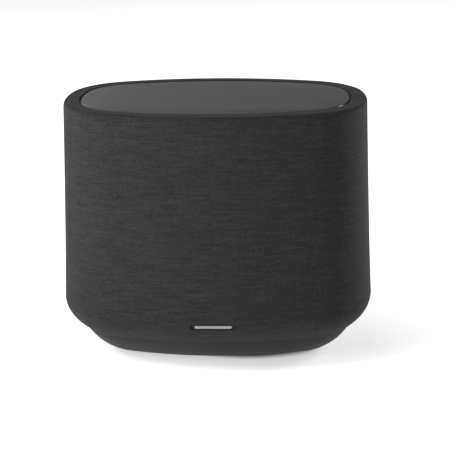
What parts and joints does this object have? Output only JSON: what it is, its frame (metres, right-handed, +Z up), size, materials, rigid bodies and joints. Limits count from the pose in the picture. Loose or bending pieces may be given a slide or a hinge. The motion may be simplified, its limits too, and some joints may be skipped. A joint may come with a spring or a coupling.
{
  "type": "smart home hub",
  "caption": "Oval smart speaker hub wrapped in woven cloth, with an inset touch-glass lid, a tucked-in lower edge and a moulded plinth on a rubber ring.",
  "frame": {"origin": "on the table, under the middle of the body", "axes": "+Z up, -Y is the front with the badge, +X to the right as seen from the front"},
  "size_m": [0.31, 0.203, 0.256],
  "materials": {
    "cloth": "woven charcoal cloth",
    "frame_plastic": "moulded, fine texture",
    "lid_glass": "satin etched dark glass, opaque",
    "seal_rubber": "matt",
    "sensor_film": "amber film",
    "light_guide": "clear frosted",
    "circuit_board": "solder mask",
    "plinth_plastic": "soft-touch",
    "foot_rubber": "matt",
    "steel": "zinc plated",
    "screw_steel": "plated",
    "cabinet_plastic": "moulded",
    "basket_metal": "powder coated",
    "ferrite": "ground ferrite and plated steel",
    "cone_pulp": "woven composite cone",
    "surround_rubber": "matt",
    "spider_cloth": "varnished cloth",
    "dome_cloth": "coated silk",
    "heat_sink_metal": "anodised",
    "brass": "turned",
    "panel_plastic": "fine texture",
    "inlet_plastic": "moulded",
    "pin_metal": "bright nickel",
    "button_plastic": "semi-gloss",
    "badge_black": "satin black",
    "badge_metal": "brushed",
    "wire_jacket": "PVC",
    "capacitor_sleeve": "shrink sleeve",
    "transformer_tape": "polyester tape and ferrite",
    "shield_metal": "tinned",
    "power_board_laminate": "paper laminate"
  },
  "bodies": {
    "housing": {"fabric_sleeve": "cloth", "sleeve_frame": "frame_plastic", "top_glass": "lid_glass", "lid_gasket": "seal_rubber", "touch_sheet": "sensor_film", "lid_carrier": "frame_plastic", "status_light": "light_guide", "mic_board": "circuit_board", "base_plinth": "plinth_plastic", "foot_ring": "foot_rubber", "bottom_cover": "plinth_plastic", "base_screws": "screw_steel", "chassis_plate": "steel", "cabinet_shell": "cabinet_plastic", "front_baffle": "cabinet_plastic", "baffle_gasket": "seal_rubber", "baffle_screws": "screw_steel", "woofer_basket_left": "basket_metal", "woofer_motor_left": "ferrite", "woofer_surround_left": "surround_rubber", "woofer_spider_left": "spider_cloth", "woofer_basket_right": "basket_metal", "woofer_motor_right": "ferrite", "woofer_surround_right": "surround_rubber", "woofer_spider_right": "spider_cloth", "tweeter_plate_left": "basket_metal", "tweeter_motor_left": "ferrite", "tweeter_plate_right": "basket_metal", "tweeter_motor_right": "ferrite", "radiator_frame_left": "basket_metal", "radiator_surround_left": "surround_rubber", "radiator_frame_right": "basket_metal", "radiator_surround_right": "surround_rubber", "driver_screws": "screw_steel", "main_board": "circuit_board", "board_shields": "shield_metal", "amp_board": "circuit_board", "heat_sink": "heat_sink_metal", "power_board": "power_board_laminate", "transformer": "transformer_tape", "capacitors": "capacitor_sleeve", "antennas": "brass", "board_spacers": "brass", "board_screws": "screw_steel", "rear_panel": "panel_plastic", "power_inlet": "inlet_plastic", "inlet_pins": "pin_metal", "button_board": "circuit_board", "badge_plate": "badge_black", "badge_inlay": "badge_metal", "speaker_wires": "wire_jacket"},
    "woofer_left": {"woofer_cone_left": "cone_pulp"},
    "tweeter_left": {"tweeter_dome_left": "dome_cloth"},
    "radiator_left": {"radiator_plate_left": "cone_pulp"},
    "woofer_right": {"woofer_cone_right": "cone_pulp"},
    "tweeter_right": {"tweeter_dome_right": "dome_cloth"},
    "radiator_right": {"radiator_plate_right": "cone_pulp"},
    "pair_key": {"pair_button": "button_plastic"},
    "mic_key": {"mic_button": "button_plastic"},
    "reset_key": {"reset_button": "button_plastic"}
  },
  "joints": [
    {"name": "woofer_left_travel", "type": "slide", "parent": "housing", "child": "woofer_left", "axis": [0, -1, 0], "range_m": [-0.004, 0.004], "stiffness_N_per_m": 1500, "deforming": ["woofer_surround_left", "woofer_spider_left"]},
    {"name": "woofer_right_travel", "type": "slide", "parent": "housing", "child": "woofer_right", "axis": [0, -1, 0], "range_m": [-0.004, 0.004], "stiffness_N_per_m": 1500, "deforming": ["woofer_surround_right", "woofer_spider_right"]},
    {"name": "tweeter_left_travel", "type": "slide", "parent": "housing", "child": "tweeter_left", "axis": [0, -1, 0], "range_m": [-0.0003, 0.0003], "stiffness_N_per_m": 2500},
    {"name": "tweeter_right_travel", "type": "slide", "parent": "housing", "child": "tweeter_right", "axis": [0, -1, 0], "range_m": [-0.0003, 0.0003], "stiffness_N_per_m": 2500},
    {"name": "radiator_left_travel", "type": "slide", "parent": "housing", "child": "radiator_left", "axis": [0, 1, 0], "range_m": [-0.005, 0.005], "stiffness_N_per_m": 900, "deforming": ["radiator_surround_left"]},
    {"name": "radiator_right_travel", "type": "slide", "parent": "housing", "child": "radiator_right", "axis": [0, 1, 0], "range_m": [-0.005, 0.005], "stiffness_N_per_m": 900, "deforming": ["radiator_surround_right"]},
    {"name": "pair_push", "type": "slide", "parent": "housing", "child": "pair_key", "axis": [0, -1, 0], "range_m": [0, 0.001], "stiffness_N_per_m": 1200},
    {"name": "mic_push", "type": "slide", "parent": "housing", "child": "mic_key", "axis": [0, -1, 0], "range_m": [0, 0.001], "stiffness_N_per_m": 1200},
    {"name": "reset_push", "type": "slide", "parent": "housing", "child": "reset_key", "axis": [0, -1, 0], "range_m": [0, 0.0006], "stiffness_N_per_m": 1200}
  ]
}
